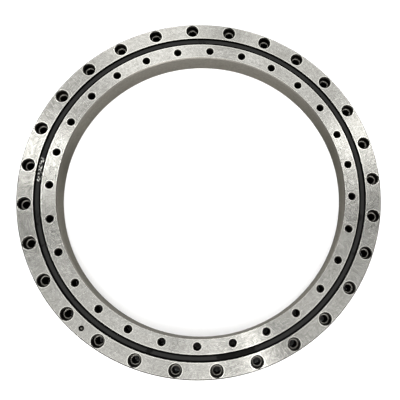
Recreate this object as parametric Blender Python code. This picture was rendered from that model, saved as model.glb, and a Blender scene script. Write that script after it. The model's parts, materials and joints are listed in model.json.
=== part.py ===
"""Crossed-roller slewing ring, 355 mm over the outer ring, 280 mm bore, 25.4 mm high.

Both rings are one piece, with 28 bolt holes each. The rollers stand at 45 degrees between two 90-degree
raceways, and every other roller leans the other way. They go in through a radial hole in the outer ring,
which a plug and a taper pin close. The rings lie on their mounting face at z = 0, centred on the z axis,
and the +x axis runs through an inner bolt hole and midway between two outer ones.
"""

from math import cos, pi, radians, sin, sqrt, tau

import bmesh
import bpy
from mathutils import Matrix, Vector

MM = 0.001

# Driving dimensions
OUTER_RADIUS = 177.5 * MM
BORE_RADIUS = 140.0 * MM
HEIGHT = 25.4 * MM
PITCH_RADIUS = 159.0 * MM  # circle of the rollers' centres
ROLLER_DIAMETER = 8.0 * MM
OUTER_BOLT_RADIUS = 170.0 * MM
INNER_BOLT_RADIUS = 147.5 * MM
BOLT_COUNT = 28  # in each ring
BOLT_HOLE_DIAMETER = 6.6 * MM
COUNTERBORE_DIAMETER = 11.0 * MM
COUNTERBORE_DEPTH = 6.8 * MM
ROLLER_COUNT = 108  # the whole complement, which sets the spacing

# Fits and edges
GAP = 0.3 * MM  # between pieces that touch on the real bearing
EDGE_CHAMFER = 1.0 * MM
OVERRUN = 1.0 * MM  # how far a cutter passes a face that it opens

# Ring section
MID_HEIGHT = HEIGHT / 2
LAND_OFFSET = 1.2 * MM  # from the pitch circle to each ring's land beside the raceway
RELIEF_OFFSET = 5.6 * MM  # from the pitch circle to the flat at the bottom of each raceway
FLANK_REACH = sqrt(2) * (ROLLER_DIAMETER / 2 + GAP)  # where the two flanks of a raceway would meet
SEAL_SPACE_DEPTH = 5.0 * MM
SEAL_SEAT_OFFSET = 3.9 * MM  # from the pitch circle to the wall that holds a seal
SEAL_TRACK_OFFSET = 2.7 * MM  # from the pitch circle to the wall that its lip runs on
SEAL_GROOVE_DEPTH = 1.5 * MM
SEAL_GROOVE_TOP = 2.8 * MM  # below the ring's face
SEAL_GROOVE_HEIGHT = 1.6 * MM
SEAL_SINK = 0.8 * MM  # the seal's top lies this far below the ring's face
SEAL_BEVEL = 0.9 * MM
LIP_THICKNESS = 1.0 * MM

# Rollers and spacers
ROLLER_LENGTH = 7.7 * MM
ROLLER_CHAMFER = 0.4 * MM
SPACER_SIDE = 7.2 * MM
SPACER_RELIEF_RADIUS = ROLLER_DIAMETER / 2 + 0.25 * MM
STATION_COUNT = 12  # groups of two rollers and two spacers, evenly round the ring
ROLLERS_PER_STATION = ROLLER_COUNT // STATION_COUNT

# Filling hole, midway between two outer bolt holes
FILLING_HOLE_DIAMETER = 12.0 * MM
FILLING_GAP_INDEX = 18
PIN_TOP_DIAMETER = 5.0 * MM
PIN_TAPER = 1 / 50
PIN_SINK = 0.6 * MM
PIN_DOME = 0.7 * MM

# Grease ports, midway between two outer bolt holes
PORT_GAP_INDICES = (0, 7, 14, 21)
PORT_DIAMETER = 6.0 * MM
PORT_DEPTH = 8.0 * MM
PASSAGE_DIAMETER = 3.0 * MM
SCREW_SINK = 1.3 * MM
SCREW_LENGTH = 5.5 * MM
SCREW_SOCKET_FLATS = 3.0 * MM
SCREW_SOCKET_DEPTH = 2.6 * MM

# Facets
RING_FACETS = 2 * BOLT_COUNT
FLAT_TO_CORNER = cos(pi / RING_FACETS)
HOLE_FACETS = 12
ROLLER_FACETS = 12
SPACER_CUT_FACETS = 20
SOCKET_FACETS = 6

BOLT_PITCH = tau / BOLT_COUNT
ROLLER_PITCH = tau / ROLLER_COUNT


def clear_scene():
    for obj in list(bpy.data.objects):
        bpy.data.objects.remove(obj)


def make_material(name, colour, roughness, metallic):
    material = bpy.data.materials.new(name)
    material.use_nodes = True
    shader = material.node_tree.nodes["Principled BSDF"]
    shader.inputs["Base Color"].default_value = (*colour, 1.0)
    shader.inputs["Roughness"].default_value = roughness
    shader.inputs["Metallic"].default_value = metallic
    return material


def add_object(name, mesh, material, parent=None):
    obj = bpy.data.objects.new(name, mesh)
    bpy.context.scene.collection.objects.link(obj)
    if material and not mesh.materials:
        mesh.materials.append(material)
    obj.parent = parent
    return obj


def add_axis(name, parent=None):
    """An empty on the bearing's axis, which carries the pieces that turn together."""
    empty = bpy.data.objects.new(name, None)
    bpy.context.scene.collection.objects.link(empty)
    empty.parent = parent
    return empty


def add_helper(name, mesh):
    """A cutter or a guide, which isn't a piece of the bearing."""
    helper = add_object(name, mesh, None)
    helper.hide_render = True
    helper.display_type = "WIRE"
    return helper


def add_boolean(obj, operation, other):
    modifier = obj.modifiers.new(f"{operation.lower()} {other.name}", "BOOLEAN")
    modifier.operation = operation
    modifier.object = other


def mesh_from(bm, name, sharp_angle=radians(30)):
    bmesh.ops.remove_doubles(bm, verts=bm.verts, dist=0.001 * MM)
    bmesh.ops.recalc_face_normals(bm, faces=bm.faces)
    mesh = bpy.data.meshes.new(name)
    bm.to_mesh(mesh)
    bm.free()
    mesh.shade_smooth()
    mesh.set_sharp_from_angle(angle=sharp_angle)
    return mesh


def turn(bm, outline, facets, placement):
    """Turns an outline of (radius, height) points about the z axis, then puts what it made in its place."""
    before = set(bm.verts)
    verts = [bm.verts.new((radius, 0, height)) for radius, height in outline]
    edges = [bm.edges.new(pair) for pair in zip(verts, verts[1:])]
    bmesh.ops.spin(
        bm, geom=verts + edges, axis=(0, 0, 1), cent=(0, 0, 0), angle=tau, steps=facets, use_merge=True
    )
    made = [v for v in bm.verts if v not in before]
    bmesh.ops.transform(bm, matrix=placement, verts=made)


def ring_mesh(name, section):
    """A closed section turned about the bearing's axis.

    The middles of its facets lie on the true circles and in line with the bolt holes, the plug and the ports.
    """
    bm = bmesh.new()
    outline = [(radius / FLAT_TO_CORNER, height) for radius, height in section]
    turn(bm, outline + outline[:1], RING_FACETS, about_axis(pi / RING_FACETS))
    return mesh_from(bm, name)


def add_turned_solid(bm, section, facets, placement):
    """A section turned about its own z axis and closed by a flat face at each end."""
    low = section[0][1]
    high = section[-1][1]
    turn(bm, [(0, low), *section, (0, high)], facets, placement)


def turned_mesh(name, section, facets, placement=Matrix.Identity(4)):
    bm = bmesh.new()
    add_turned_solid(bm, section, facets, placement)
    return mesh_from(bm, name)


def about_axis(angle):
    return Matrix.Rotation(angle, 4, "Z")


def pointing_outwards(angle, radius):
    """At mid-height on a circle round the ring's axis, with local z pointing away from the axis."""
    return about_axis(angle) @ Matrix.Translation((radius, 0, MID_HEIGHT)) @ Matrix.Rotation(pi / 2, 4, "Y")


# --- The ring section -------------------------------------------------------------------------------------


def seen_from_other_ring(section):
    """The section turned half round about the pitch point, which carries each ring's features to the other."""
    return [(2 * PITCH_RADIUS - radius, HEIGHT - height) for radius, height in section]


def raceway_points(side):
    """The 90-degree raceway and the land at each side of it, from the bottom up; side is 1 on the outer ring."""
    land = PITCH_RADIUS + side * LAND_OFFSET
    relief = PITCH_RADIUS + side * RELIEF_OFFSET
    at_land = FLANK_REACH - LAND_OFFSET
    at_relief = FLANK_REACH - RELIEF_OFFSET
    return [
        (land, MID_HEIGHT - at_land),
        (relief, MID_HEIGHT - at_relief),
        (relief, MID_HEIGHT + at_relief),
        (land, MID_HEIGHT + at_land),
    ]


def outer_ring_section():
    """The lip of the upper seal runs on this ring, and the lower seal sits in its groove."""
    land = PITCH_RADIUS + LAND_OFFSET
    track = PITCH_RADIUS + SEAL_TRACK_OFFSET
    seat = PITCH_RADIUS + SEAL_SEAT_OFFSET
    groove = seat + SEAL_GROOVE_DEPTH
    groove_low = SEAL_GROOVE_TOP
    groove_high = SEAL_GROOVE_TOP + SEAL_GROOVE_HEIGHT
    return [
        (seat, 0),
        (OUTER_RADIUS - EDGE_CHAMFER, 0),
        (OUTER_RADIUS, EDGE_CHAMFER),
        (OUTER_RADIUS, HEIGHT - EDGE_CHAMFER),
        (OUTER_RADIUS - EDGE_CHAMFER, HEIGHT),
        (track, HEIGHT),
        (track, HEIGHT - SEAL_SPACE_DEPTH),
        (land, HEIGHT - SEAL_SPACE_DEPTH),
        *reversed(raceway_points(1)),
        (land, SEAL_SPACE_DEPTH),
        (seat, SEAL_SPACE_DEPTH),
        (seat, groove_high),
        (groove, groove_high),
        (groove, groove_low),
        (seat, groove_low),
    ]


def inner_ring_section():
    """The outer ring's section seen from the pitch point, as far as the bore is thinner than the rim."""
    rim = 2 * PITCH_RADIUS - OUTER_RADIUS
    return [
        (radius + BORE_RADIUS - rim if radius < rim + 2 * EDGE_CHAMFER else radius, height)
        for radius, height in seen_from_other_ring(outer_ring_section())
    ]


def upper_seal_section():
    """A rubber ring whose foot sits in the inner ring's groove and whose lip reaches the outer ring.

    The lip's corners pass the middles of the wall's facets, so those set its radius.
    """
    seat = PITCH_RADIUS - SEAL_SEAT_OFFSET
    lip = (PITCH_RADIUS + SEAL_TRACK_OFFSET - GAP) * FLAT_TO_CORNER
    top = HEIGHT - SEAL_SINK
    low = HEIGHT - SEAL_SPACE_DEPTH + GAP
    groove_high = HEIGHT - SEAL_GROOVE_TOP - GAP
    groove_low = HEIGHT - SEAL_GROOVE_TOP - SEAL_GROOVE_HEIGHT + GAP
    foot = seat - SEAL_GROOVE_DEPTH + GAP
    return [
        (seat + GAP, low),
        (lip - SEAL_BEVEL, low),
        (lip, top - SEAL_BEVEL - LIP_THICKNESS),
        (lip, top - SEAL_BEVEL),
        (lip - SEAL_BEVEL, top),
        (seat + GAP + SEAL_BEVEL, top),
        (seat + GAP, top - SEAL_BEVEL),
        (seat + GAP, groove_high),
        (foot, groove_high),
        (foot, groove_low),
        (seat + GAP, groove_low),
    ]


# --- Holes ------------------------------------------------------------------------------------------------


def bolt_hole_cutter(name, radius, first_angle, head_up):
    """All the counterbored holes of one ring."""
    hole = BOLT_HOLE_DIAMETER / 2
    counterbore = COUNTERBORE_DIAMETER / 2
    section = [
        (hole, -OVERRUN),
        (hole, HEIGHT - COUNTERBORE_DEPTH),
        (counterbore, HEIGHT - COUNTERBORE_DEPTH),
        (counterbore, HEIGHT + OVERRUN),
    ]
    if not head_up:
        section = [(r, HEIGHT - z) for r, z in reversed(section)]
    bm = bmesh.new()
    for k in range(BOLT_COUNT):
        placement = about_axis(first_angle + k * BOLT_PITCH) @ Matrix.Translation((radius, 0, 0))
        add_turned_solid(bm, section, HOLE_FACETS, placement)
    return add_helper(name, mesh_from(bm, name))


def port_cutter():
    """The grease ports: a tapped hole from outside, and a narrow passage on into the raceway."""
    port_floor = OUTER_RADIUS - PORT_DEPTH
    inner_end = PITCH_RADIUS + RELIEF_OFFSET - 3 * OVERRUN
    section = [
        (PASSAGE_DIAMETER / 2, inner_end),
        (PASSAGE_DIAMETER / 2, port_floor),
        (PORT_DIAMETER / 2, port_floor),
        (PORT_DIAMETER / 2, OUTER_RADIUS + OVERRUN),
    ]
    bm = bmesh.new()
    for k in PORT_GAP_INDICES:
        add_turned_solid(bm, section, HOLE_FACETS, pointing_outwards(k * BOLT_PITCH, 0))
    return add_helper("port_cutter", mesh_from(bm, "port_cutter"))


def pin_radius(height, clearance=0.0):
    return PIN_TOP_DIAMETER / 2 - clearance - (HEIGHT - height) * PIN_TAPER / 2


FILLING_ANGLE = FILLING_GAP_INDEX * BOLT_PITCH


def pin_cutter():
    """The taper hole down through the outer ring and the plug."""
    section = [(pin_radius(z), z) for z in (-OVERRUN, HEIGHT + OVERRUN)]
    placement = about_axis(FILLING_ANGLE) @ Matrix.Translation((OUTER_BOLT_RADIUS, 0, 0))
    return add_helper("pin_cutter", turned_mesh("pin_cutter", section, HOLE_FACETS, placement))


def filling_hole_cutter():
    section = [
        (FILLING_HOLE_DIAMETER / 2, PITCH_RADIUS),
        (FILLING_HOLE_DIAMETER / 2, OUTER_RADIUS + OVERRUN),
    ]
    placement = pointing_outwards(FILLING_ANGLE, 0)
    return add_helper("filling_hole_cutter", turned_mesh("filling_hole_cutter", section, 2 * HOLE_FACETS, placement))


# --- Pieces -----------------------------------------------------------------------------------------------


def make_rings(steel, ring_axis):
    outer = add_object("outer_ring", ring_mesh("outer_ring", outer_ring_section()), steel)
    inner = add_object("inner_ring", ring_mesh("inner_ring", inner_ring_section()), steel, ring_axis)
    half_pitch = BOLT_PITCH / 2
    add_boolean(outer, "DIFFERENCE", bolt_hole_cutter("outer_bolt_cutter", OUTER_BOLT_RADIUS, half_pitch, True))
    add_boolean(inner, "DIFFERENCE", bolt_hole_cutter("inner_bolt_cutter", INNER_BOLT_RADIUS, 0, False))
    add_boolean(outer, "DIFFERENCE", port_cutter())
    return outer


def make_seals(rubber, ring_axis):
    add_object("upper_seal", ring_mesh("upper_seal", upper_seal_section()), rubber, ring_axis)
    add_object("lower_seal", ring_mesh("lower_seal", seen_from_other_ring(upper_seal_section())), rubber)


def make_filling_plug(outer, steel, pin_steel):
    """The plug is the piece of ring that the filling hole takes out, less its gap, so it completes the raceway."""
    blank = add_helper("ring_blank", ring_mesh("ring_blank", outer_ring_section()))
    taper_hole = pin_cutter()
    add_boolean(outer, "DIFFERENCE", filling_hole_cutter())
    add_boolean(outer, "DIFFERENCE", taper_hole)

    half_length = (OUTER_RADIUS - PITCH_RADIUS) / 2 + OVERRUN
    radius = FILLING_HOLE_DIAMETER / 2 - GAP
    section = [(radius, -half_length), (radius, half_length)]
    plug = add_object("filler_plug", turned_mesh("filler_plug", section, 2 * HOLE_FACETS), steel)
    plug.matrix_world = pointing_outwards(FILLING_ANGLE, (OUTER_RADIUS + PITCH_RADIUS) / 2)
    add_boolean(plug, "INTERSECT", blank)
    add_boolean(plug, "DIFFERENCE", taper_hole)

    top = HEIGHT - PIN_SINK
    low = PIN_SINK
    section = [
        (pin_radius(low, GAP) - PIN_DOME, low),
        (pin_radius(low, GAP), low + PIN_DOME),
        (pin_radius(top, GAP), top - PIN_DOME),
        (pin_radius(top, GAP) - PIN_DOME, top),
    ]
    pin = add_object("taper_pin", turned_mesh("taper_pin", section, HOLE_FACETS), pin_steel)
    pin.location = OUTER_BOLT_RADIUS * Vector((cos(FILLING_ANGLE), sin(FILLING_ANGLE), 0))
    pin.rotation_euler.z = FILLING_ANGLE


def make_port_screws(dark_steel):
    """Socket set screws that close the grease ports, sunk below the ring's rim."""
    radius = PORT_DIAMETER / 2 - GAP
    socket = SCREW_SOCKET_FLATS / 2 / cos(pi / SOCKET_FACETS)
    body = [(radius - MM / 2, 0), (radius, MM / 2), (radius, SCREW_LENGTH)]
    recess = [(socket, SCREW_LENGTH - SCREW_SOCKET_DEPTH), (socket, SCREW_LENGTH + OVERRUN)]
    body_mesh = turned_mesh("grease_port_screw", body, HOLE_FACETS)
    recess_mesh = turned_mesh("socket_cutter", recess, SOCKET_FACETS)
    for number, k in enumerate(PORT_GAP_INDICES, 1):
        placement = pointing_outwards(k * BOLT_PITCH, OUTER_RADIUS - SCREW_SINK - SCREW_LENGTH)
        screw = add_object(f"grease_port_screw_{number}", body_mesh, dark_steel)
        cutter = add_helper(f"socket_cutter_{number}", recess_mesh)
        screw.matrix_world = placement
        cutter.matrix_world = placement
        add_boolean(screw, "DIFFERENCE", cutter)


def roller_mesh():
    half = ROLLER_LENGTH / 2
    radius = ROLLER_DIAMETER / 2
    section = [
        (radius - ROLLER_CHAMFER, -half),
        (radius, ROLLER_CHAMFER - half),
        (radius, half - ROLLER_CHAMFER),
        (radius - ROLLER_CHAMFER, half),
    ]
    return turned_mesh("roller", section, ROLLER_FACETS)


def lean_of(index):
    """1 where the top of a roller leans outwards, -1 where it leans inwards."""
    return 1 if index % 2 == 0 else -1


def at_station(index):
    """The pitch circle at a roller's place, with x outwards, y along the circle and z up."""
    return about_axis(index * ROLLER_PITCH) @ Matrix.Translation((PITCH_RADIUS, 0, MID_HEIGHT))


def leaning(index):
    return Matrix.Rotation(lean_of(index) * pi / 4, 4, "Y")


def spacer_mesh(index):
    """A plastic saddle: a square block at 45 degrees, hollowed on each face by the roller next to it."""
    home = at_station(index + 0.5).inverted()
    bm = bmesh.new()
    bmesh.ops.create_cube(bm, size=1.0)
    bmesh.ops.scale(bm, verts=bm.verts, vec=(SPACER_SIDE, ROLLER_DIAMETER, SPACER_SIDE))
    bmesh.ops.rotate(bm, verts=bm.verts, matrix=Matrix.Rotation(pi / 4, 3, "Y"))
    block = add_helper(f"spacer_block_{index % 2}", mesh_from(bm, "spacer_block"))
    for neighbour in (index, index + 1):
        section = [(SPACER_RELIEF_RADIUS, -ROLLER_LENGTH), (SPACER_RELIEF_RADIUS, ROLLER_LENGTH)]
        placement = home @ at_station(neighbour) @ leaning(neighbour)
        name = f"spacer_cutter_{index % 2}_{neighbour - index}"
        add_boolean(block, "DIFFERENCE", add_helper(name, turned_mesh(name, section, SPACER_CUT_FACETS, placement)))
    graph = bpy.context.evaluated_depsgraph_get()
    return bpy.data.meshes.new_from_object(block.evaluated_get(graph))


def make_roller_train(hardened_steel, plastic, train_axis):
    """Two rollers and the spacers after them at each station; the other stations' places stay empty."""
    roller = roller_mesh()
    spacers = [spacer_mesh(0), spacer_mesh(1)]
    number = 0
    for station in range(STATION_COUNT):
        for index in range(station * ROLLERS_PER_STATION, station * ROLLERS_PER_STATION + 2):
            number += 1
            piece = add_object(f"roller_{number:02d}", roller, hardened_steel, train_axis)
            piece.matrix_local = at_station(index) @ leaning(index)
            piece = add_object(f"spacer_{number:02d}", spacers[index % 2], plastic, train_axis)
            piece.matrix_local = at_station(index + 0.5)


def main():
    clear_scene()
    ring_steel = make_material("ring_steel", (0.55, 0.53, 0.49), 0.35, 1.0)
    hardened_steel = make_material("hardened_steel", (0.62, 0.62, 0.62), 0.12, 1.0)
    screw_steel = make_material("screw_steel", (0.03, 0.03, 0.03), 0.45, 1.0)
    rubber = make_material("seal_rubber", (0.015, 0.015, 0.014), 0.5, 0.0)
    plastic = make_material("spacer_plastic", (0.6, 0.55, 0.42), 0.5, 0.0)

    ring_axis = add_axis("inner_ring_axis")
    train_axis = add_axis("roller_train_axis")
    outer = make_rings(ring_steel, ring_axis)
    make_seals(rubber, ring_axis)
    make_filling_plug(outer, ring_steel, hardened_steel)
    make_port_screws(screw_steel)
    make_roller_train(hardened_steel, plastic, train_axis)


main()
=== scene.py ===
import json
from math import cos, pi, radians, sin, sqrt, tau

import bmesh
import bpy
from mathutils import Matrix, Vector


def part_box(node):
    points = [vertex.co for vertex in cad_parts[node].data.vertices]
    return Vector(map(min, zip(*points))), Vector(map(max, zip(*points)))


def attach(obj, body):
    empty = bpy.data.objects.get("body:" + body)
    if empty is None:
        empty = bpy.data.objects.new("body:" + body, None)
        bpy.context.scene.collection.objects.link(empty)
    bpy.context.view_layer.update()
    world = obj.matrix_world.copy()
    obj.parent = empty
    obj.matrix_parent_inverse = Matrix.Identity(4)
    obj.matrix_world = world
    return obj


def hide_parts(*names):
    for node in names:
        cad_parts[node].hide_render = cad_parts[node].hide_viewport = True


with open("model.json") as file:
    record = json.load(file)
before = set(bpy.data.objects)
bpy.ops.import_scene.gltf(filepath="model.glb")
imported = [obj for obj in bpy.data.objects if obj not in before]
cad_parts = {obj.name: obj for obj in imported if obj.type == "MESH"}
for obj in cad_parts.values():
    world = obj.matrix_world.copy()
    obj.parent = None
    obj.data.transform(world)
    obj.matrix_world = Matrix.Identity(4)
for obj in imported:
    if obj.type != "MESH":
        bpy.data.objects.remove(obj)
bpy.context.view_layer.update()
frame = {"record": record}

# --- Outer ring -------------------------------------------------------------------------------------------
# One ring of through-hardening bearing steel, turned all over, then ground on both faces and in its raceway.
# Screws through its 28 counterbored holes hold it to the machine's frame. The lip of the upper seal runs on
# its bore, and the lower seal is pressed into a groove near its lower face.

MM = 0.001
SMALLEST = 0.001 * MM  # points nearer than this are one
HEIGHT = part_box("outer_ring")[1].z
OUTER_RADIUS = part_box("outer_ring")[1].x
PITCH_RADIUS = 159 * MM  # circle of the rollers' centres
BORE_RADIUS = 140 * MM
MOUNTS = {mount["name"]: Vector(mount["pos_m"]) for mount in frame["record"]["mounts"]}
OUTER_BOLT_RADIUS = MOUNTS["outer_ring_top"].xy.length
BOLT_COUNT = 28
BOLT_PITCH = tau / BOLT_COUNT
RING_STEPS = 12 * BOLT_COUNT
SHARP_ANGLE = radians(30)

ROLLER_RADIUS = 4 * MM
ROLLER_CLEARANCE = 0.05 * MM
LAND_OFFSET = 1.2 * MM  # from the pitch circle to each ring's land beside the raceway
RELIEF_OFFSET = 5.3 * MM  # from the pitch circle to the flat that relieves the bottom of the raceway
SEAL_SPACE = 5 * MM  # depth of the space for a seal
SEAT_OFFSET = 3.9 * MM  # from the pitch circle to the wall that holds a seal
TRACK_OFFSET = 2.7 * MM  # from the pitch circle to the wall that its lip runs on
GROOVE_DEPTH = 1.5 * MM
GROOVE_NEAR = 2.8 * MM  # from the ring's face to the near side of the seal's groove
GROOVE_FAR = 4.4 * MM

RIM_CHAMFER = 1 * MM
EDGE_BREAK = 0.25 * MM
SCREW_HOLE_RADIUS = 3.3 * MM
SCREW_MOUTH = 0.7 * MM  # the chamfer where a screw hole opens in a face
STEP_MOUTH = 0.6 * MM  # the chamfer where it opens in its counterbore
STEP_LINE = 0.45 * MM  # the width of the shallow cone round that, and its depth
STEP_LINE_DEPTH = 0.16 * MM
COUNTERBORE_RADIUS = 5.5 * MM
COUNTERBORE_DEPTH = 6.8 * MM
COUNTERBORE_MOUTH = 0.9 * MM
COUNTERBORE_SIDE = OUTER_BOLT_RADIUS - COUNTERBORE_RADIUS - PITCH_RADIUS
HOLE_STEPS = 48
OVERRUN = 1 * MM  # how far a cutter passes the face that it opens
ON_FACE = 0.01 * MM  # nearer to a piece's flat face than this is on it


def revolve(bm, steps):
    """Turns the bmesh's outline about the z axis."""
    geometry = bm.verts[:] + bm.edges[:]
    bmesh.ops.spin(
        bm, geom=geometry, axis=(0, 0, 1), cent=(0, 0, 0), angle=tau, steps=steps, use_merge=True
    )
    bmesh.ops.remove_doubles(bm, verts=bm.verts, dist=SMALLEST)
    bmesh.ops.recalc_face_normals(bm, faces=bm.faces)


def turned_ring(corners, steps=RING_STEPS):
    """A ring turned to a section of (radius, height, edge) corners, each cut back by its edge."""
    bm = bmesh.new()
    edge_of = {bm.verts.new((radius, 0, height)): edge for radius, height, edge in corners}
    bm.faces.new(edge_of)
    for width in sorted(set(edge_of.values()) - {0}):
        chosen = [vert for vert, edge in edge_of.items() if edge == width]
        bmesh.ops.bevel(
            bm, geom=chosen, offset=width, segments=1, affect="VERTICES", profile=0.5, material=-1
        )
    bmesh.ops.delete(bm, geom=bm.faces[:], context="FACES_ONLY")
    revolve(bm, steps)
    return bm


def turned_solid(outline, steps, placement=Matrix.Identity(4)):
    """A solid of (radius, height) points turned about its own z axis, with flat ends, and put in place."""
    bm = bmesh.new()
    points = [(0, outline[0][1]), *outline, (0, outline[-1][1])]
    verts = [bm.verts.new((radius, 0, height)) for radius, height in points]
    for pair in zip(verts, verts[1:]):
        bm.edges.new(pair)
    revolve(bm, steps)
    bmesh.ops.transform(bm, matrix=placement, verts=bm.verts)
    return bm


def joined(parts):
    """Several bmeshes as one."""
    whole = bmesh.new()
    for part in parts:
        mesh = bpy.data.meshes.new("part")
        part.to_mesh(mesh)
        part.free()
        whole.from_mesh(mesh)
        bpy.data.meshes.remove(mesh)
    return whole


def add_piece(name, bm):
    mesh = bpy.data.meshes.new(name)
    bm.to_mesh(mesh)
    bm.free()
    piece = bpy.data.objects.new(name, mesh)
    bpy.context.scene.collection.objects.link(piece)
    return piece


def cut(piece, cutter_bm, operation="DIFFERENCE"):
    """Takes the cutter's shape from the piece, or keeps only what lies in it."""
    cutter = add_piece("cutter", cutter_bm)
    modifier = piece.modifiers.new("cut", "BOOLEAN")
    modifier.operation = operation
    modifier.object = cutter
    graph = bpy.context.evaluated_depsgraph_get()
    mesh = bpy.data.meshes.new_from_object(piece.evaluated_get(graph))
    old = piece.data
    piece.modifiers.clear()
    piece.data = mesh
    mesh.name = piece.name
    bpy.data.meshes.remove(old)
    bpy.data.objects.remove(cutter)


def round_smooth(piece):
    piece.data.shade_smooth()
    piece.data.set_sharp_from_angle(angle=SHARP_ANGLE)


def about_axis(angle):
    return Matrix.Rotation(angle, 4, "Z")


def pointing_outwards(angle, radius):
    """At mid-height on a circle round the ring's axis, with local z pointing away from the axis."""
    return about_axis(angle) @ Matrix.Translation((radius, 0, HEIGHT / 2)) @ Matrix.Rotation(pi / 2, 4, "Y")


def seen_from_other_ring(corners):
    """The section turned half round about the pitch point, which gives each ring the other's features."""
    return [(2 * PITCH_RADIUS - radius, HEIGHT - height, edge) for radius, height, edge in corners]


def outer_section():
    land = PITCH_RADIUS + LAND_OFFSET
    relief = PITCH_RADIUS + RELIEF_OFFSET
    track = PITCH_RADIUS + TRACK_OFFSET
    seat = PITCH_RADIUS + SEAT_OFFSET
    flanks_meet = sqrt(2) * (ROLLER_RADIUS + ROLLER_CLEARANCE)
    at_land = flanks_meet - LAND_OFFSET
    at_relief = flanks_meet - RELIEF_OFFSET
    middle = HEIGHT / 2
    return [
        (seat, 0, EDGE_BREAK),
        (OUTER_RADIUS, 0, RIM_CHAMFER),
        (OUTER_RADIUS, HEIGHT, RIM_CHAMFER),
        (track, HEIGHT, EDGE_BREAK),
        (track, HEIGHT - SEAL_SPACE, 0),
        (land, HEIGHT - SEAL_SPACE, EDGE_BREAK),
        (land, middle + at_land, 0),
        (relief, middle + at_relief, 0),
        (relief, middle - at_relief, 0),
        (land, middle - at_land, 0),
        (land, SEAL_SPACE, EDGE_BREAK),
        (seat, SEAL_SPACE, 0),
        (seat, GROOVE_FAR, 0),
        (seat + GROOVE_DEPTH, GROOVE_FAR, 0),
        (seat + GROOVE_DEPTH, GROOVE_NEAR, 0),
        (seat, GROOVE_NEAR, 0),
    ]


def screw_holes(circle_radius, first_angle, head_up):
    """The counterbored holes of one ring, with a chamfer at each mouth."""
    step = HEIGHT - COUNTERBORE_DEPTH
    outline = [
        (SCREW_HOLE_RADIUS + SCREW_MOUTH + OVERRUN, -OVERRUN),
        (SCREW_HOLE_RADIUS, SCREW_MOUTH),
        (SCREW_HOLE_RADIUS, step - STEP_LINE_DEPTH - STEP_MOUTH),
        (SCREW_HOLE_RADIUS + STEP_MOUTH, step - STEP_LINE_DEPTH),
        (SCREW_HOLE_RADIUS + STEP_MOUTH + STEP_LINE, step),
        (COUNTERBORE_RADIUS, step),
        (COUNTERBORE_RADIUS, HEIGHT - COUNTERBORE_MOUTH),
        (COUNTERBORE_RADIUS + COUNTERBORE_MOUTH + OVERRUN, HEIGHT + OVERRUN),
    ]
    if not head_up:
        outline = [(radius, HEIGHT - height) for radius, height in reversed(outline)]
    places = [
        about_axis(first_angle + k * BOLT_PITCH) @ Matrix.Translation((circle_radius, 0, 0))
        for k in range(BOLT_COUNT)
    ]
    return joined([turned_solid(outline, HOLE_STEPS, place) for place in places])


outer_ring = add_piece("outer_ring_body", turned_ring(outer_section()))
cut(outer_ring, screw_holes(OUTER_BOLT_RADIUS, BOLT_PITCH / 2, True))


def linear(hex_colour):
    """A colour written as sRGB hex, as the linear RGBA that a shader takes."""
    channels = [int(hex_colour[i : i + 2], 16) / 255 for i in (1, 3, 5)]
    return [c / 12.92 if c <= 0.04045 else ((c + 0.055) / 1.055) ** 2.4 for c in channels] + [1.0]


def add_node(tree, kind, inputs=None, **settings):
    """Adds a node. An input given a socket is linked to it, and any other input is set to its value."""
    node = tree.nodes.new(kind)
    for name, value in settings.items():
        setattr(node, name, value)
    for name, value in (inputs or {}).items():
        if isinstance(value, bpy.types.NodeSocket):
            tree.links.new(value, node.inputs[name])
        else:
            node.inputs[name].default_value = value
    return node


def new_material(name, **constants):
    """A material with a Principled shader, its constant sockets set by their names in lower case."""
    material = bpy.data.materials.new(name)
    material.use_nodes = True
    tree = material.node_tree
    shader = tree.nodes["Principled BSDF"]
    for words, value in constants.items():
        shader.inputs[words.replace("_", " ").title().replace("Ior", "IOR")].default_value = value
    return material, tree, shader


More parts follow.
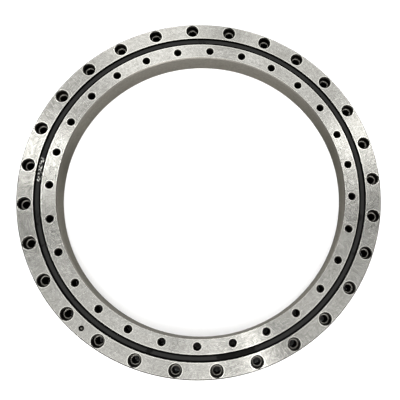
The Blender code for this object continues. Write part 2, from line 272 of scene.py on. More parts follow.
def beside_edges(tree, place, radius, height, edges):
    """How near a point of a ring's face is to the face's edges and the mouths of its holes, from 0 to 1.

    The edges are the bolt circle's radius and first angle, the distance from the pitch circle to the rim or
    the bore, and then for each face, lower and upper, the distance from the pitch circle to its edge by the
    seal and the radius of its holes.
    """
    bolt_radius, first_angle, rim, lower, upper = edges
    axes = add_node(tree, "ShaderNodeSeparateXYZ", {0: place}).outputs
    angle = add_node(tree, "ShaderNodeMath", {0: axes["Y"], 1: axes["X"]}, operation="ARCTAN2").outputs[0]
    pitches = add_node(
        tree,
        "ShaderNodeMath",
        {0: angle, 1: 1 / BOLT_PITCH, 2: -first_angle / BOLT_PITCH},
        operation="MULTIPLY_ADD",
    ).outputs[0]
    whole = add_node(tree, "ShaderNodeMath", {0: pitches}, operation="ROUND").outputs[0]
    part = add_node(tree, "ShaderNodeMath", {0: pitches, 1: whole}, operation="SUBTRACT").outputs[0]
    aside = add_node(
        tree, "ShaderNodeMath", {0: part, 1: BOLT_PITCH * bolt_radius}, operation="MULTIPLY"
    ).outputs[0]
    beyond = add_node(tree, "ShaderNodeMath", {0: radius, 1: bolt_radius}, operation="SUBTRACT").outputs[0]
    from_hole = add_node(tree, "ShaderNodeCombineXYZ", {"X": aside, "Y": beyond}).outputs[0]
    to_hole = add_node(tree, "ShaderNodeVectorMath", {0: from_hole}, operation="LENGTH").outputs["Value"]
    signed = add_node(tree, "ShaderNodeMath", {0: radius, 1: PITCH_RADIUS}, operation="SUBTRACT").outputs[0]
    from_pitch = add_node(tree, "ShaderNodeMath", {0: signed}, operation="ABSOLUTE").outputs[0]
    on_top = add_node(
        tree, "ShaderNodeMath", {0: height, 1: HEIGHT / 2}, operation="GREATER_THAN"
    ).outputs[0]
    gaps = []
    for distance, (low, high) in ((from_pitch, (lower[0], upper[0])), (to_hole, (lower[1], upper[1]))):
        start = add_node(
            tree, "ShaderNodeMath", {0: on_top, 1: low - high, 2: -low}, operation="MULTIPLY_ADD"
        ).outputs[0]
        gaps.append(add_node(tree, "ShaderNodeMath", {0: distance, 1: start}, operation="ADD").outputs[0])
    from_rim = add_node(
        tree, "ShaderNodeMath", {0: rim + RIM_FADE * EDGE_HIGHLIGHT_WIDTH, 1: from_pitch}, operation="SUBTRACT"
    ).outputs[0]
    gaps.append(from_rim)
    nearer = add_node(tree, "ShaderNodeMath", {0: gaps[0], 1: gaps[1]}, operation="MINIMUM").outputs[0]
    nearest = add_node(tree, "ShaderNodeMath", {0: nearer, 1: gaps[2]}, operation="MINIMUM").outputs[0]
    faded = {"From Min": 0.5 * EDGE_HIGHLIGHT_WIDTH, "From Max": EDGE_HIGHLIGHT_WIDTH, "To Min": 1, "To Max": 0}
    return add_node(tree, "ShaderNodeMapRange", {"Value": nearest, **faded}).outputs[0]


def near(tree, place, middle, reach, inside, outside=0, solid=0.5):
    """A value that is inside about the middle, up to the solid share of the reach, and outside beyond it."""
    distance = add_node(
        tree, "ShaderNodeVectorMath", {0: place, 1: middle}, operation="DISTANCE"
    ).outputs["Value"]
    fade = {"From Min": solid * reach, "From Max": reach, "To Min": inside, "To Max": outside}
    return add_node(tree, "ShaderNodeMapRange", {"Value": distance, **fade}).outputs[0]


def bearing_steel(
    name, colours, roughness, anisotropy, feed, feed_height, grain_height, dirt, edges=None, painted_shade=()
):
    """Bare bearing steel, worked round the bearing's axis.

    The feed is the distance between the tool's lines and feed_height how far they stand up, grain_height is
    the same for the grain, and dirt is how much the stained patches darken the metal. A ground face has
    edges, beside which a lighter line is painted as a highlight. The last argument gives the middle and
    reach of each place where painted shade darkens the metal.
    """
    material, tree, shader = new_material(
        name,
        metallic=1.0,
        anisotropic=anisotropy,
        anisotropic_rotation=0.25,
        specular_tint=linear(GLANCING_TINT),
    )
    place = add_node(tree, "ShaderNodeTexCoord").outputs["Object"]

    # Lines that change once per feed across the face or up the wall, and run far round the axis.
    flat = add_node(tree, "ShaderNodeVectorMath", {0: place, 1: (1, 1, 0)}, operation="MULTIPLY").outputs[0]
    radius = add_node(tree, "ShaderNodeVectorMath", {0: flat}, operation="LENGTH").outputs["Value"]
    outwards = add_node(tree, "ShaderNodeVectorMath", {0: flat}, operation="NORMALIZE").outputs[0]
    height = add_node(tree, "ShaderNodeSeparateXYZ", {0: place}).outputs["Z"]
    across = add_node(tree, "ShaderNodeMath", {0: radius, 1: height}, operation="ADD").outputs[0]
    rise = add_node(tree, "ShaderNodeMath", {0: across, 1: 1 / feed}, operation="MULTIPLY").outputs[0]
    along = add_node(
        tree, "ShaderNodeVectorMath", {0: outwards, "Scale": PITCH_RADIUS / LINE_LENGTH}, operation="SCALE"
    ).outputs[0]
    upwards = add_node(tree, "ShaderNodeCombineXYZ", {"Z": rise}).outputs[0]
    lay = add_node(tree, "ShaderNodeVectorMath", {0: along, 1: upwards}, operation="ADD").outputs[0]
    lines = add_node(tree, "ShaderNodeTexNoise", {"Vector": lay, "Scale": 1, "Detail": 2}).outputs["Fac"]

    # Grain, which scatters the light finely, and clouds of stain and handling.
    grain = add_node(
        tree, "ShaderNodeTexNoise", {"Vector": place, "Scale": 1 / GRAIN_SIZE, "Detail": 3, "Roughness": 0.6}
    ).outputs["Fac"]
    clouds = add_node(
        tree, "ShaderNodeTexNoise", {"Vector": place, "Scale": 1 / CLOUD_SIZE, "Detail": 5, "Distortion": 0.6}
    ).outputs["Fac"]
    stain = add_node(
        tree, "ShaderNodeMapRange", {"Value": clouds, "From Min": 0.45, "From Max": 0.75, "To Max": dirt}
    ).outputs[0]

    # Scuffs from handling: short fine lines in two directions, many where the ring has been slid about.
    scuffs = []
    for turn, length in ((0.5, 9 * MM), (-0.8, 6 * MM)):
        slanted = add_node(
            tree,
            "ShaderNodeMapping",
            {"Vector": place, "Rotation": (0, 0, turn), "Scale": (length, SCUFF_WIDTH, length)},
            vector_type="TEXTURE",
        ).outputs[0]
        scuffs.append(
            add_node(tree, "ShaderNodeTexNoise", {"Vector": slanted, "Scale": 1, "Detail": 1}).outputs["Fac"]
        )
    crossed = add_node(tree, "ShaderNodeMath", {0: scuffs[0], 1: scuffs[1]}, operation="MAXIMUM").outputs[0]
    threshold = near(tree, place, SLIDE_PLACE, SLIDE_REACH, inside=0.46, outside=0.6)
    scuffed = add_node(
        tree, "ShaderNodeMapRange", {"Value": crossed, "From Min": threshold, "From Max": 0.75}
    ).outputs[0]

    mottle = add_node(
        tree, "ShaderNodeMath", {0: lines, 1: 0.4, 2: grain}, operation="MULTIPLY_ADD"
    ).outputs[0]
    shade = add_node(
        tree, "ShaderNodeMapRange", {"Value": mottle, "From Min": 0.45, "From Max": 0.95}
    ).outputs[0]
    clean = add_node(
        tree,
        "ShaderNodeMix",
        {"Factor": shade, "A": linear(colours[0]), "B": linear(colours[1])},
        data_type="RGBA",
    ).outputs["Result"]
    tone = add_node(
        tree,
        "ShaderNodeMix",
        {"Factor": stain, "A": clean, "B": linear(STAIN_COLOUR)},
        data_type="RGBA",
    ).outputs["Result"]
    # Painted shade: the metal is darkened about each given place, for the dimmer light that the turned walls
    # reflect there.
    for middle, reach in painted_shade:
        shaded = near(tree, place, middle, reach, inside=0.4, solid=0)
        tone = add_node(
            tree,
            "ShaderNodeMix",
            {"Factor": shaded, "A": tone, "B": linear(PAINTED_SHADE_COLOUR)},
            data_type="RGBA",
        ).outputs["Result"]
    # Painted highlight: a lighter line beside each edge of a ground face and round each hole's mouth.
    if edges:
        edge_highlight = beside_edges(tree, place, radius, height, edges)
        tone = add_node(
            tree,
            "ShaderNodeMix",
            {"Factor": edge_highlight, "A": tone, "B": linear(EDGE_HIGHLIGHT_COLOUR)},
            data_type="RGBA",
        ).outputs["Result"]
    tree.links.new(tone, shader.inputs["Base Color"])
    rough = add_node(
        tree, "ShaderNodeMapRange", {"Value": clouds, "To Min": roughness - 0.06, "To Max": roughness + 0.06}
    ).outputs[0]
    tree.links.new(rough, shader.inputs["Roughness"])

    scuffed_height = add_node(
        tree, "ShaderNodeMath", {0: scuffed, 1: SCUFF_HEIGHT}, operation="MULTIPLY"
    ).outputs[0]
    rough_height = add_node(
        tree, "ShaderNodeMath", {0: grain, 1: grain_height, 2: scuffed_height}, operation="MULTIPLY_ADD"
    ).outputs[0]
    relief = add_node(
        tree, "ShaderNodeMath", {0: lines, 1: feed_height, 2: rough_height}, operation="MULTIPLY_ADD"
    ).outputs[0]
    bump = add_node(tree, "ShaderNodeBump", {"Height": relief, "Distance": 1, "Strength": 1})
    tree.links.new(bump.outputs["Normal"], shader.inputs["Normal"])
    tangent = add_node(tree, "ShaderNodeTangent", direction_type="RADIAL", axis="Z").outputs[0]
    tree.links.new(tangent, shader.inputs["Tangent"])
    return material


def finish_faces(piece, choose):
    """Gives each face of the piece the material that choose picks from the face's middle."""
    for face in piece.data.polygons:
        face.material_index = choose(face.center)


def dress(piece, materials, choose=None):
    for material in materials:
        piece.data.materials.append(material)
    if choose:
        finish_faces(piece, choose)


LINE_LENGTH = 60 * MM
GRAIN_SIZE = 2.2 * MM  # real grinding grain is ten times finer and wouldn't show
CLOUD_SIZE = 12 * MM
SCUFF_WIDTH = 0.5 * MM
SCUFF_HEIGHT = 0.02 * MM
SLIDE_PLACE = (-138 * MM, 50 * MM, HEIGHT)
SLIDE_REACH = 20 * MM
# The painted highlight beside the edges of the ground faces: its width and its colour.
EDGE_HIGHLIGHT_WIDTH = 0.9 * MM
RIM_FADE = 0.4  # the share of that width that the rim's chamfer takes away
EDGE_HIGHLIGHT_COLOUR = "#CBCAC3"
STAIN_COLOUR = "#7C7870"
GLANCING_TINT = "#AEADA8"  # oiled steel stays grey where it is seen edge on
# Painted shade on the turned bore and rim: the middle and reach of two places, and the colour they darken
# towards.
BORE_PAINTED_SHADE = (
    ((130 * MM, 52 * MM, HEIGHT / 2), 90 * MM),
    ((-138 * MM, 24 * MM, HEIGHT / 2), 40 * MM),
)
PAINTED_SHADE_COLOUR = "#1E1D1A"
# Ground bearing steel: a satin grey that brightens into broad spokes where the light falls across the fine
# circular scratches. The real scratches are 0.02 mm apart, drawn here at 0.5 mm so that they show. Beside
# every edge a narrow, lighter line is painted on: a painted highlight.
GROUND_WORK = {
    "roughness": 0.22,
    "anisotropy": 1.0,
    "feed": 0.5 * MM,
    "feed_height": 0.006 * MM,
    "grain_height": 0.008 * MM,
    "dirt": 0.2,
}
OUTER_EDGES = (
    OUTER_BOLT_RADIUS,
    BOLT_PITCH / 2,
    OUTER_RADIUS - RIM_CHAMFER - PITCH_RADIUS,
    (SEAT_OFFSET + EDGE_BREAK, SCREW_HOLE_RADIUS + SCREW_MOUTH),
    (TRACK_OFFSET + EDGE_BREAK, COUNTERBORE_RADIUS + COUNTERBORE_MOUTH),
)
GROUND_STEEL = bearing_steel(
    "ground bearing steel", ("#908F8A", "#AFAEA9"), edges=OUTER_EDGES, **GROUND_WORK
)
# Turned bearing steel, with a feed line every 0.2 mm, drawn at 0.6 mm. It is darker than the ground faces
# partly for the turned finish's own tone and partly as painted shade, which dims what the bore and rim
# reflect.
TURNED_STEEL = bearing_steel(
    "turned bearing steel",
    ("#5F5D58", "#76736D"),
    roughness=0.36,
    anisotropy=0.6,
    feed=0.6 * MM,
    feed_height=0.008 * MM,
    grain_height=0.01 * MM,
    dirt=0.2,
    painted_shade=BORE_PAINTED_SHADE,
)
# Drilled bearing steel, left as cut, in the holes and counterbores and on the rim's chamfer. Its near-black
# colour is painted shade: the dark that falls in the holes and counterbores, and the dark line along the rim.
DRILLED_STEEL = bearing_steel(
    "drilled bearing steel",
    ("#191816", "#262422"),
    roughness=0.45,
    anisotropy=0.0,
    feed=0.4 * MM,
    feed_height=0.01 * MM,
    grain_height=0.01 * MM,
    dirt=0.2,
)
# Greased bearing steel, in the raceways and beside the seals: grease darkens it a little, and the rest of its
# near-black colour is painted shade, for the little light that reaches it there.
GREASED_AND_SHADED_STEEL = bearing_steel(
    "greased bearing steel in painted shade",
    ("#131210", "#1F1E1B"),
    roughness=0.4,
    anisotropy=0.0,
    feed=0.4 * MM,
    feed_height=0.003 * MM,
    grain_height=0.003 * MM,
    dirt=0.1,
)
# Countersunk bearing steel: the narrow cone at the bottom of each counterbore, cut bright by its tool.
COUNTERSUNK_STEEL = bearing_steel(
    "countersunk bearing steel",
    ("#74726C", "#8A8882"),
    roughness=0.4,
    anisotropy=0.0,
    feed=0.3 * MM,
    feed_height=0.004 * MM,
    grain_height=0.006 * MM,
    dirt=0.1,
)
RING_FINISHES = (GROUND_STEEL, TURNED_STEEL, DRILLED_STEEL, GREASED_AND_SHADED_STEEL, COUNTERSUNK_STEEL)
GROUND, TURNED, DRILLED, GREASED_AND_SHADED, COUNTERSUNK = range(len(RING_FINISHES))


def ring_finish(centre):
    """Which finish either ring has at a face's middle."""
    radius = centre.xy.length
    depth = min(centre.z, HEIGHT - centre.z)
    from_pitch = abs(radius - PITCH_RADIUS)
    # The raceways and the spaces beside the seals take the greased steel, in painted shade.
    if from_pitch < SEAT_OFFSET + EDGE_BREAK or (from_pitch < COUNTERBORE_SIDE and depth > RIM_CHAMFER):
        return GREASED_AND_SHADED
    on_rim = OUTER_RADIUS - radius < RIM_CHAMFER < depth
    in_bore = radius - BORE_RADIUS < RIM_CHAMFER and depth > ON_FACE
    if on_rim or in_bore:
        return TURNED
    if ON_FACE < depth - COUNTERBORE_DEPTH < STEP_LINE_DEPTH:
        return COUNTERSUNK
    # Off the faces, the holes, the counterbores and the rim's chamfer take the drilled steel, in painted
    # shade.
    return GROUND if depth < ON_FACE else DRILLED


dress(outer_ring, RING_FINISHES, ring_finish)
round_smooth(outer_ring)
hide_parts("outer_ring")
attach(outer_ring, "fixed_ring")

# --- Inner ring -------------------------------------------------------------------------------------------
# The same steel and the same work as the outer ring, whose section it repeats, turned half round. It carries
# the machine's turning part, by screws that come up through holes counterbored on its lower face.

INNER_BOLT_RADIUS = MOUNTS["inner_ring_top"].xy.length


def inner_section():
    """The outer ring's section seen from the pitch point, with the bore where the rim would be."""
    rim = 2 * PITCH_RADIUS - OUTER_RADIUS
    return [
        (BORE_RADIUS if abs(radius - rim) < EDGE_BREAK else radius, height, edge)
        for radius, height, edge in seen_from_other_ring(outer_section())
    ]


INNER_EDGES = (
    INNER_BOLT_RADIUS,
    0,
    PITCH_RADIUS - BORE_RADIUS - RIM_CHAMFER,
    (TRACK_OFFSET + EDGE_BREAK, COUNTERBORE_RADIUS + COUNTERBORE_MOUTH),
    (SEAT_OFFSET + EDGE_BREAK, SCREW_HOLE_RADIUS + SCREW_MOUTH),
)
# Ground bearing steel again, a little lighter than on the outer ring.
LIGHTER_GROUND_STEEL = bearing_steel(
    "lighter ground bearing steel", ("#95948F", "#B6B5B0"), edges=INNER_EDGES, **GROUND_WORK
)
inner_ring = add_piece("inner_ring_body", turned_ring(inner_section()))
cut(inner_ring, screw_holes(INNER_BOLT_RADIUS, 0, False))
dress(inner_ring, (LIGHTER_GROUND_STEEL, *RING_FINISHES[1:]), ring_finish)
round_smooth(inner_ring)
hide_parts("inner_ring")
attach(inner_ring, "turning_ring")

# --- Seals ------------------------------------------------------------------------------------------------
# Moulded nitrile rubber, one ring above and one below. The foot is pressed into a groove in one ring, and the
# lip runs on the other. A film of grease weeps past the lip and wets the rubber in places.

SEAL_SINK = 0.8 * MM
SEAL_THICKNESS = 1.6 * MM
SEAL_MARGIN = 1.5 * MM  # the shadow gap along each side of the seal's flat
SEAL_EDGE = 0.2 * MM
SEAL_CLEARANCE = 0.3 * MM  # from the seal to the floor and the wall of its space
LIP_THICKNESS = 0.7 * MM
LIP_EDGE = 0.1 * MM
FOOT_CLEARANCE = 0.02 * MM


def upper_seal_section():
    seat = PITCH_RADIUS - SEAT_OFFSET
    track = PITCH_RADIUS + TRACK_OFFSET - FOOT_CLEARANCE
    foot = seat - GROOVE_DEPTH + FOOT_CLEARANCE
    top = HEIGHT - SEAL_SINK
    low = HEIGHT - SEAL_SPACE + SEAL_CLEARANCE
    lip = low + SEAL_THICKNESS / 2
    groove_high = HEIGHT - GROOVE_NEAR - FOOT_CLEARANCE
    groove_low = HEIGHT - GROOVE_FAR + FOOT_CLEARANCE
    flat_in = seat + SEAL_MARGIN
    flat_out = PITCH_RADIUS + TRACK_OFFSET - SEAL_MARGIN
    return [
        (flat_in, top, SEAL_EDGE),
        (flat_in, groove_high, 0),
        (foot, groove_high, SEAL_EDGE),
        (foot, groove_low, SEAL_EDGE),
        (seat + SEAL_CLEARANCE, groove_low, 0),
        (seat + SEAL_CLEARANCE, low, SEAL_EDGE),
        (flat_out, low, SEAL_EDGE),
        (track, lip, LIP_EDGE),
        (track, lip + LIP_THICKNESS, LIP_EDGE),
        (flat_out, low + SEAL_THICKNESS, LIP_EDGE),
        (flat_out, top, SEAL_EDGE),
    ]


def greasy_rubber():
    """Black nitrile rubber, matt from its mould, wetted by grease in patches and beaded with it in one, where
    the beads are painted near-white as a painted highlight.
    """
    material, tree, shader = new_material("greased nitrile rubber", ior=1.52, specular_ior_level=0.12)
    place = add_node(tree, "ShaderNodeTexCoord").outputs["Object"]
    patches = add_node(
        tree, "ShaderNodeTexNoise", {"Vector": place, "Scale": 1 / (14 * MM), "Detail": 4}
    ).outputs["Fac"]
    grain = add_node(
        tree, "ShaderNodeTexNoise", {"Vector": place, "Scale": 1 / (1.5 * MM), "Detail": 2}
    ).outputs["Fac"]
    drops = add_node(
        tree, "ShaderNodeTexNoise", {"Vector": place, "Scale": 1 / (1.1 * MM), "Detail": 1}
    ).outputs["Fac"]
    weep = near(tree, place, WEEP_PLACE, WEEP_REACH, inside=1)
    pool = near(tree, place, POOL_PLACE, WEEP_REACH, inside=0.2)
    pooled = add_node(tree, "ShaderNodeMath", {0: pool, 1: patches}, operation="ADD").outputs[0]
    film = add_node(tree, "ShaderNodeMath", {0: weep, 1: 0.3, 2: pooled}, operation="MULTIPLY_ADD").outputs[0]
    wet = add_node(
        tree, "ShaderNodeMapRange", {"Value": film, "From Min": 0.58, "From Max": 0.64}
    ).outputs[0]
    beaded = add_node(tree, "ShaderNodeMath", {0: drops, 1: weep}, operation="MULTIPLY").outputs[0]
    beads_and_painted_glints = add_node(
        tree, "ShaderNodeMapRange", {"Value": beaded, "From Min": 0.58, "From Max": 0.61}
    ).outputs[0]
    tone = add_node(
        tree,
        "ShaderNodeMix",
        {"Factor": wet, "A": linear("#191918"), "B": linear("#080807")},
        data_type="RGBA",
    ).outputs["Result"]
    # Painted highlight: the grease beads are painted near-white, for the light that glints on them.
    painted_glint_tone = add_node(
        tree,
        "ShaderNodeMix",
        {"Factor": beads_and_painted_glints, "A": tone, "B": linear("#DAD9D3")},
        data_type="RGBA",
    ).outputs["Result"]
    tree.links.new(painted_glint_tone, shader.inputs["Base Color"])
    rough = add_node(
        tree, "ShaderNodeMapRange", {"Value": wet, "To Min": 0.6, "To Max": 0.2}
    ).outputs[0]
    tree.links.new(rough, shader.inputs["Roughness"])
    relief = add_node(tree, "ShaderNodeMath", {0: beads_and_painted_glints, 1: 4, 2: grain}, operation="MULTIPLY_ADD").outputs[0]
    bump = add_node(tree, "ShaderNodeBump", {"Height": relief, "Distance": 0.05 * MM, "Strength": 1})
    tree.links.new(bump.outputs["Normal"], shader.inputs["Normal"])
    return material


def clouded(name, size, tones, roughness, distortion=0, **constants):
    """A finish whose tone and roughness drift together, in soft clouds of the given size."""
    material, tree, shader = new_material(name, **constants)
    place = add_node(tree, "ShaderNodeTexCoord").outputs["Object"]
    clouds = add_node(
        tree,
        "ShaderNodeTexNoise",
        {"Vector": place, "Scale": 1 / size, "Detail": 2, "Distortion": distortion},
    ).outputs["Fac"]
    tone = add_node(
        tree,
        "ShaderNodeMix",
        {"Factor": clouds, "A": linear(tones[0]), "B": linear(tones[1])},
        data_type="RGBA",
    ).outputs["Result"]
    tree.links.new(tone, shader.inputs["Base Color"])
    rough = add_node(
        tree, "ShaderNodeMapRange", {"Value": clouds, "To Min": roughness[0], "To Max": roughness[1]}
    ).outputs[0]
    tree.links.new(rough, shader.inputs["Roughness"])
    return material


def seal_finish(centre):
    """Rubber on the seal's flat, and grease on every face below it."""
    return 0 if min(centre.z, HEIGHT - centre.z) < SEAL_SINK + ON_FACE else 1


WEEP_PLACE = (-157 * MM, 15.5 * MM, HEIGHT)
WEEP_REACH = 24 * MM
POOL_PLACE = (41 * MM, -152 * MM, HEIGHT)
RUBBER = greasy_rubber()
# Black grease on the seal's sides and lip: slow swirls, a few of them a little lighter.
GREASE = clouded(
    "black grease",
    6 * MM,
    ("#040404", "#0D0C0B"),
    (0.5, 0.8),
    distortion=1,
    ior=1.47,
    specular_ior_level=0.1,
)
upper_seal = add_piece("upper_seal_ring", turned_ring(upper_seal_section()))
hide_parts("upper_seal")
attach(upper_seal, "turning_ring")
lower_seal = add_piece("lower_seal_ring", turned_ring(seen_from_other_ring(upper_seal_section())))
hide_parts("lower_seal")
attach(lower_seal, "fixed_ring")
for seal in (upper_seal, lower_seal):
    dress(seal, (RUBBER, GREASE), seal_finish)
    round_smooth(seal)

# --- Filler plug and taper pin ----------------------------------------------------------------------------
# The rollers go in through a radial hole in the outer ring. A plug of the same steel closes it and completes
# the raceway, because it is ground in place with the ring. A taper pin of 1:50, driven in from above through
# ring and plug, holds it.

pin_low, pin_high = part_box("taper_pin")
PIN_PLACE = (pin_low + pin_high) / 2
FILLING_ANGLE = -10 * BOLT_PITCH
FILLING_HOLE_RADIUS = 6 * MM
PLUG_CLEARANCE = 0.06 * MM
PIN_TOP_RADIUS = 2.5 * MM
PIN_TAPER = 1 / 50
PIN_CLEARANCE = 0.25 * MM
PIN_SINK = 0.7 * MM
PIN_EDGE = 1.45 * MM  # the rounding of its ends
PIN_MOUTH = 0.1 * MM


def pin_radius(height):
    return PIN_TOP_RADIUS - (HEIGHT - height) * PIN_TAPER / 2


def taper_hole():
    outline = [
        (pin_radius(0) + PIN_MOUTH + OVERRUN, -OVERRUN),
        (pin_radius(0), PIN_MOUTH),
        (pin_radius(HEIGHT), HEIGHT - PIN_MOUTH),
        (pin_radius(HEIGHT) + PIN_MOUTH + OVERRUN, HEIGHT + OVERRUN),
    ]
    return turned_solid(outline, HOLE_STEPS, Matrix.Translation((PIN_PLACE.x, PIN_PLACE.y, 0)))


def filling_bore(radius, mouth):
    """A radial cylinder from the pitch circle out past the rim, flared there by the mouth's chamfer."""
    outline = [
        (radius, PITCH_RADIUS),
        (radius, OUTER_RADIUS - mouth),
        (radius + mouth + OVERRUN, OUTER_RADIUS + OVERRUN),
    ]
    return turned_solid(outline, 2 * HOLE_STEPS, pointing_outwards(FILLING_ANGLE, 0))


cut(outer_ring, filling_bore(FILLING_HOLE_RADIUS, EDGE_BREAK))
cut(outer_ring, taper_hole())
finish_faces(outer_ring, ring_finish)
round_smooth(outer_ring)

filler_plug = add_piece("filler_plug_body", turned_ring(outer_section()))
cut(filler_plug, filling_bore(FILLING_HOLE_RADIUS - PLUG_CLEARANCE, 0), "INTERSECT")
cut(filler_plug, taper_hole())
dress(filler_plug, [TURNED_STEEL])
round_smooth(filler_plug)
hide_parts("filler_plug")
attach(filler_plug, "fixed_ring")

pin_top = HEIGHT - PIN_SINK
pin_bm = turned_solid(
    [
        (pin_radius(PIN_SINK) - PIN_CLEARANCE, PIN_SINK),
        (pin_radius(pin_top) - PIN_CLEARANCE, pin_top),
    ],
    HOLE_STEPS,
    Matrix.Translation((PIN_PLACE.x, PIN_PLACE.y, 0)),
)
rims = [edge for edge in pin_bm.edges if edge.calc_face_angle() > 1]
bmesh.ops.bevel(
    pin_bm, geom=rims, offset=PIN_EDGE, segments=5, affect="EDGES", profile=0.5, material=-1
)


def pin_finish(centre):
    """Bright on the faced ends, and dark on the rounded shoulders and the shank, with grease and painted
    shade.
    """
    return 0 if min(centre.z, HEIGHT - centre.z) < PIN_SINK + ON_FACE else 1


# Hardened steel ground bright, with smears of oil a few millimetres across that make it glossier in places.
SMEAR_SIZE = 2.5 * MM
BRIGHT_GROUND = (0.1, 0.3)
OILED_STEEL = clouded(
    "oiled hardened steel", SMEAR_SIZE, ("#686660", "#7C7A74"), BRIGHT_GROUND, metallic=1.0
)
taper_pin = add_piece("taper_pin_body", pin_bm)
dress(taper_pin, (OILED_STEEL, GREASED_AND_SHADED_STEEL), pin_finish)
round_smooth(taper_pin)
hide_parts("taper_pin")
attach(taper_pin, "fixed_ring")

# --- Grease ports -----------------------------------------------------------------------------------------
# Four tapped holes on the rim, each with a passage into the raceway. A socket set screw of blackened steel
# closes each one and sits just below the rim.

PORT_ANGLES = [quarter * pi / 2 for quarter in range(4)]
PORT_RADIUS = 3 * MM
PORT_DEPTH = 8 * MM
PORT_MOUTH = 0.3 * MM
PASSAGE_RADIUS = 1.5 * MM
THREAD_PITCH = 1 * MM
THREAD_DEPTH = 0.35 * MM
THREAD_CLEARANCE = 0.1 * MM
THREAD_FLANK = (0.1, 0.5, 0.6)  # where its flank starts, its crest starts and its crest ends, in pitches
SCREW_LENGTH = 5.5 * MM
SCREW_SINK = 1.3 * MM
SOCKET_RADIUS = 1.5 * MM / cos(pi / 6)
SOCKET_DEPTH = 2.6 * MM


def port_bore(angle):
    outline = [
        (PASSAGE_RADIUS, PITCH_RADIUS + LAND_OFFSET),
        (PASSAGE_RADIUS, OUTER_RADIUS - PORT_DEPTH - PORT_RADIUS / 2),
        (PORT_RADIUS, OUTER_RADIUS - PORT_DEPTH),
        (PORT_RADIUS, OUTER_RADIUS - PORT_MOUTH),
        (PORT_RADIUS + PORT_MOUTH + OVERRUN, OUTER_RADIUS + OVERRUN),
    ]
    return turned_solid(outline, HOLE_STEPS, pointing_outwards(angle, 0))


def set_screw(angle):
    """A grooved cylinder for the thread, with a chamfered end; its hexagonal socket is cut afterwards."""
    crest = PORT_RADIUS - THREAD_CLEARANCE
    root = crest - THREAD_DEPTH
    outline = [(root, 0)]
    for turn in range(int(SCREW_LENGTH / THREAD_PITCH)):
        for radius, share in zip((root, crest, crest), THREAD_FLANK):
            outline.append((radius, (turn + share) * THREAD_PITCH))
    outline.append((root, SCREW_LENGTH))
    seat = OUTER_RADIUS - SCREW_SINK - SCREW_LENGTH
    return turned_solid(outline, HOLE_STEPS, pointing_outwards(angle, seat))


def socket(angle):
    floor = OUTER_RADIUS - SCREW_SINK - SOCKET_DEPTH
    mouth = OUTER_RADIUS - SCREW_SINK
    outline = [
        (SOCKET_RADIUS / 3, floor - SOCKET_RADIUS / 3),
        (SOCKET_RADIUS, floor),
        (SOCKET_RADIUS, mouth + OVERRUN),
    ]
    return turned_solid(outline, 6, pointing_outwards(angle, 0))


# Blackened alloy steel: a thin dark film, rubbed a little, that lets some of the metal's gloss through.
BLACK_OXIDE = clouded("black oxide steel", 1.2 * MM, ("#262627", "#424140"), (0.3, 0.5), metallic=1.0)
cut(outer_ring, joined([port_bore(angle) for angle in PORT_ANGLES]))
finish_faces(outer_ring, ring_finish)
round_smooth(outer_ring)
for number, angle in enumerate(PORT_ANGLES, 1):
    screw = add_piece(f"port_screw_{number}", set_screw(angle))
    cut(screw, socket(angle))
    dress(screw, [BLACK_OXIDE])
    round_smooth(screw)
    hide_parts(f"grease_port_screw_{number}")
    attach(screw, "fixed_ring")

# --- Rollers and spacers ----------------------------------------------------------------------------------
# Hardened rollers stand at 45 degrees in the square tunnel between the raceways, and every other one leans
# the other way. A saddle of natural polyamide keeps each pair apart. Two rollers and two spacers at each of
# twelve stations are pieces of the CAD model too, and the others fill the ring between them.

ROLLER_COUNT = 108
STATIONS = 12
ROLLER_HALF = 3.85 * MM
ROLLER_EDGE = 0.4 * MM
ROLLER_STEPS = 24
SPACER_HALF = 3.6 * MM
SPACER_CLEARANCE = 0.08 * MM
ROLLER_PITCH = tau / ROLLER_COUNT


def at_place(index):
    """The pitch circle at a roller's place, with x outwards, y along the circle and z up."""
    return about_axis(index * ROLLER_PITCH) @ Matrix.Translation((PITCH_RADIUS, 0, HEIGHT / 2))


def leaning(index):
    return Matrix.Rotation(pi / 4 if index % 2 == 0 else -pi / 4, 4, "Y")


def roller(index):
    outline = [
        (ROLLER_RADIUS - ROLLER_EDGE, -ROLLER_HALF),
        (ROLLER_RADIUS, ROLLER_EDGE - ROLLER_HALF),
        (ROLLER_RADIUS, ROLLER_HALF - ROLLER_EDGE),
        (ROLLER_RADIUS - ROLLER_EDGE, ROLLER_HALF),
    ]
    return turned_solid(outline, ROLLER_STEPS, at_place(index) @ leaning(index))


def spacer_mesh(parity):
    """A square block in place after the first or the second roller, hollowed on each side by a roller."""
    bm = bmesh.new()
    bmesh.ops.create_cube(bm, size=2 * SPACER_HALF)
    midway = at_place(parity + 0.5) @ Matrix.Rotation(pi / 4, 4, "Y")
    bmesh.ops.transform(bm, matrix=midway, verts=bm.verts)
    block = add_piece("spacer", bm)
    radius = ROLLER_RADIUS + SPACER_CLEARANCE
    for index in (parity, parity + 1):
        hollow = [(radius, -2 * ROLLER_HALF), (radius, 2 * ROLLER_HALF)]
        cut(block, turned_solid(hollow, 2 * ROLLER_STEPS, at_place(index) @ leaning(index)))
    mesh = block.data
    bpy.data.objects.remove(block)
    return mesh


def spacers():
    """All the spacers, copied round the pitch circle from the two kinds."""
    kinds = [spacer_mesh(0), spacer_mesh(1)]
    bm = bmesh.new()
    for index in range(ROLLER_COUNT):
        known = set(bm.verts)
        bm.from_mesh(kinds[index % 2])
        made = [vert for vert in bm.verts if vert not in known]
        turn = about_axis((index - index % 2) * ROLLER_PITCH)
        bmesh.ops.transform(bm, matrix=turn, verts=made)
    for kind in kinds:
        bpy.data.meshes.remove(kind)
    return bm


# Hardened steel again, lapped to a light mirror-like grey.
POLISHED_STEEL = clouded(
    "polished hardened steel", SMEAR_SIZE, ("#B4B3B1", "#C6C5C3"), BRIGHT_GROUND, metallic=1.0
)
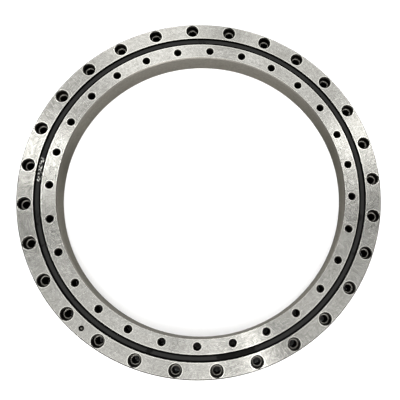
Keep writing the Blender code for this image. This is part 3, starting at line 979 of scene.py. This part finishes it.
# Natural polyamide: a warm off-white that lets a little light in, satin from its mould.
POLYAMIDE = clouded(
    "natural polyamide",
    3 * MM,
    ("#D0C6AB", "#E6E0CC"),
    (0.35, 0.6),
    ior=1.53,
    subsurface_weight=0.15,
    subsurface_radius=(1 * MM, 0.8 * MM, 0.5 * MM),
)
per_station = ROLLER_COUNT // STATIONS
own_rollers = [station * per_station + step for station in range(STATIONS) for step in range(2)]
for number, index in enumerate(own_rollers, 1):
    piece = add_piece(f"roller_body_{number:02d}", roller(index))
    dress(piece, [POLISHED_STEEL])
    round_smooth(piece)
    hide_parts(f"roller_{number:02d}")
    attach(piece, f"rolling_{number:02d}")

other_places = [index for index in range(ROLLER_COUNT) if index not in own_rollers]
other_rollers = add_piece("rollers_between", joined([roller(index) for index in other_places]))
dress(other_rollers, [POLISHED_STEEL])
round_smooth(other_rollers)
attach(other_rollers, "roller_train")

spacer_set = add_piece("spacer_set", spacers())
dress(spacer_set, [POLYAMIDE])
round_smooth(spacer_set)
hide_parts(*(f"spacer_{number:02d}" for number in range(1, len(own_rollers) + 1)))
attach(spacer_set, "roller_train")

# --- Floor, light and camera ------------------------------------------------------------------------------
# A plain white studio table inside a white tent. The tent is lit softly from outside, more strongly behind
# a few panels, and each panel draws one bright spoke across the ground faces.

FLOOR_HALF = 3.0  # metres
TENT_BRIGHTNESS = (  # azimuth in degrees round the tent, from -180, and brightness there
    (-180, 1.9),
    (-156, 1.9),
    (-110, 3.8),
    (-104, 0.1),
    (-99, 6.1),
    (-92, 3.2),
    (-83, 7.1),
    (-76, 0.0),
    (-68, 8.9),
    (-62, 14.0),
    (-57, 0.0),
    (-32, 2.6),
    (-1, 0.8),
    (5, 3.4),
    (8, 0.0),
    (37, 0.0),
    (42, 9.6),
    (50, 1.0),
    (71, 2.1),
    (73, 0.3),
    (80, 2.7),
    (88, 0.8),
    (100, 2.5),
    (111, 2.1),
    (116, 3.2),
    (120, 1.0),
    (136, 1.6),
    (144, 0.0),
    (148, 16.8),
    (152, 0.0),
    (180, 0.0),
)
TENT_HEM = 1.1  # brightness low down, below the panels
HEM_END = 16  # heights on the tent, in degrees above the table
PANEL_START = 22
TENT_CROWN = 0.5  # brightness overhead
CROWN_START = 72
CROWN_FULL = 78

floor_bm = bmesh.new()
bmesh.ops.create_grid(floor_bm, x_segments=1, y_segments=1, size=FLOOR_HALF)
floor = add_piece("studio_table", floor_bm)
floor_material, _, _ = new_material("white laminate", base_color=linear("#FFFFFF"), roughness=0.7)
dress(floor, [floor_material])

world = bpy.data.worlds.new("studio tent")
world.use_nodes = True
tent = world.node_tree
direction = add_node(tent, "ShaderNodeTexCoord").outputs["Generated"]
parts = add_node(tent, "ShaderNodeSeparateXYZ", {0: direction}).outputs
azimuth = add_node(
    tent, "ShaderNodeMath", {0: parts["Y"], 1: parts["X"]}, operation="ARCTAN2"
).outputs[0]
turn = add_node(
    tent, "ShaderNodeMapRange", {"Value": azimuth, "From Min": -pi, "From Max": pi}
).outputs[0]
ramp = add_node(tent, "ShaderNodeValToRGB", {"Fac": turn})
brightest = max(brightness for _, brightness in TENT_BRIGHTNESS)
stops = ramp.color_ramp.elements
while len(stops) < len(TENT_BRIGHTNESS):
    stops.new(0.5)
for stop, (angle, brightness) in zip(stops, TENT_BRIGHTNESS):
    stop.position = (angle + 180) / 360
    stop.color = (brightness / brightest,) * 3 + (1.0,)
wall_light = add_node(
    tent, "ShaderNodeMath", {0: ramp.outputs[0], 1: brightest}, operation="MULTIPLY"
).outputs[0]


def above(start, full):
    """The share of the light that a band of the tent takes over, between two heights on it."""
    heights = {"From Min": sin(radians(start)), "From Max": sin(radians(full))}
    return add_node(tent, "ShaderNodeMapRange", {"Value": parts["Z"], **heights}).outputs[0]


panels = add_node(
    tent, "ShaderNodeMix", {"Factor": above(HEM_END, PANEL_START), "A": TENT_HEM, "B": wall_light}
).outputs["Result"]
light = add_node(
    tent, "ShaderNodeMix", {"Factor": above(CROWN_START, CROWN_FULL), "A": panels, "B": TENT_CROWN}
).outputs["Result"]
tent.links.new(light, tent.nodes["Background"].inputs["Strength"])
tent.nodes["Background"].inputs["Color"].default_value = linear("#FFFFFF")
bpy.context.scene.world = world

CAMERA_PLACE = Vector((16.0, -107.1, 526.6)) * MM
CAMERA_TURN = Matrix(
    ((0.9964, -0.0369, -0.0767), (0.0213, 0.9806, -0.1950), (0.0824, 0.1926, 0.9778))
)
CAMERA_SHIFT = -0.15
LENS_MM = 46.83
camera_data = bpy.data.cameras.new("camera")
camera_data.lens = LENS_MM
camera_data.shift_x = CAMERA_SHIFT
camera = bpy.data.objects.new("camera", camera_data)
bpy.context.scene.collection.objects.link(camera)
camera.location = CAMERA_PLACE
camera.rotation_euler = CAMERA_TURN.to_euler()
bpy.context.scene.camera = camera
bpy.context.scene.view_settings.view_transform = "Standard"
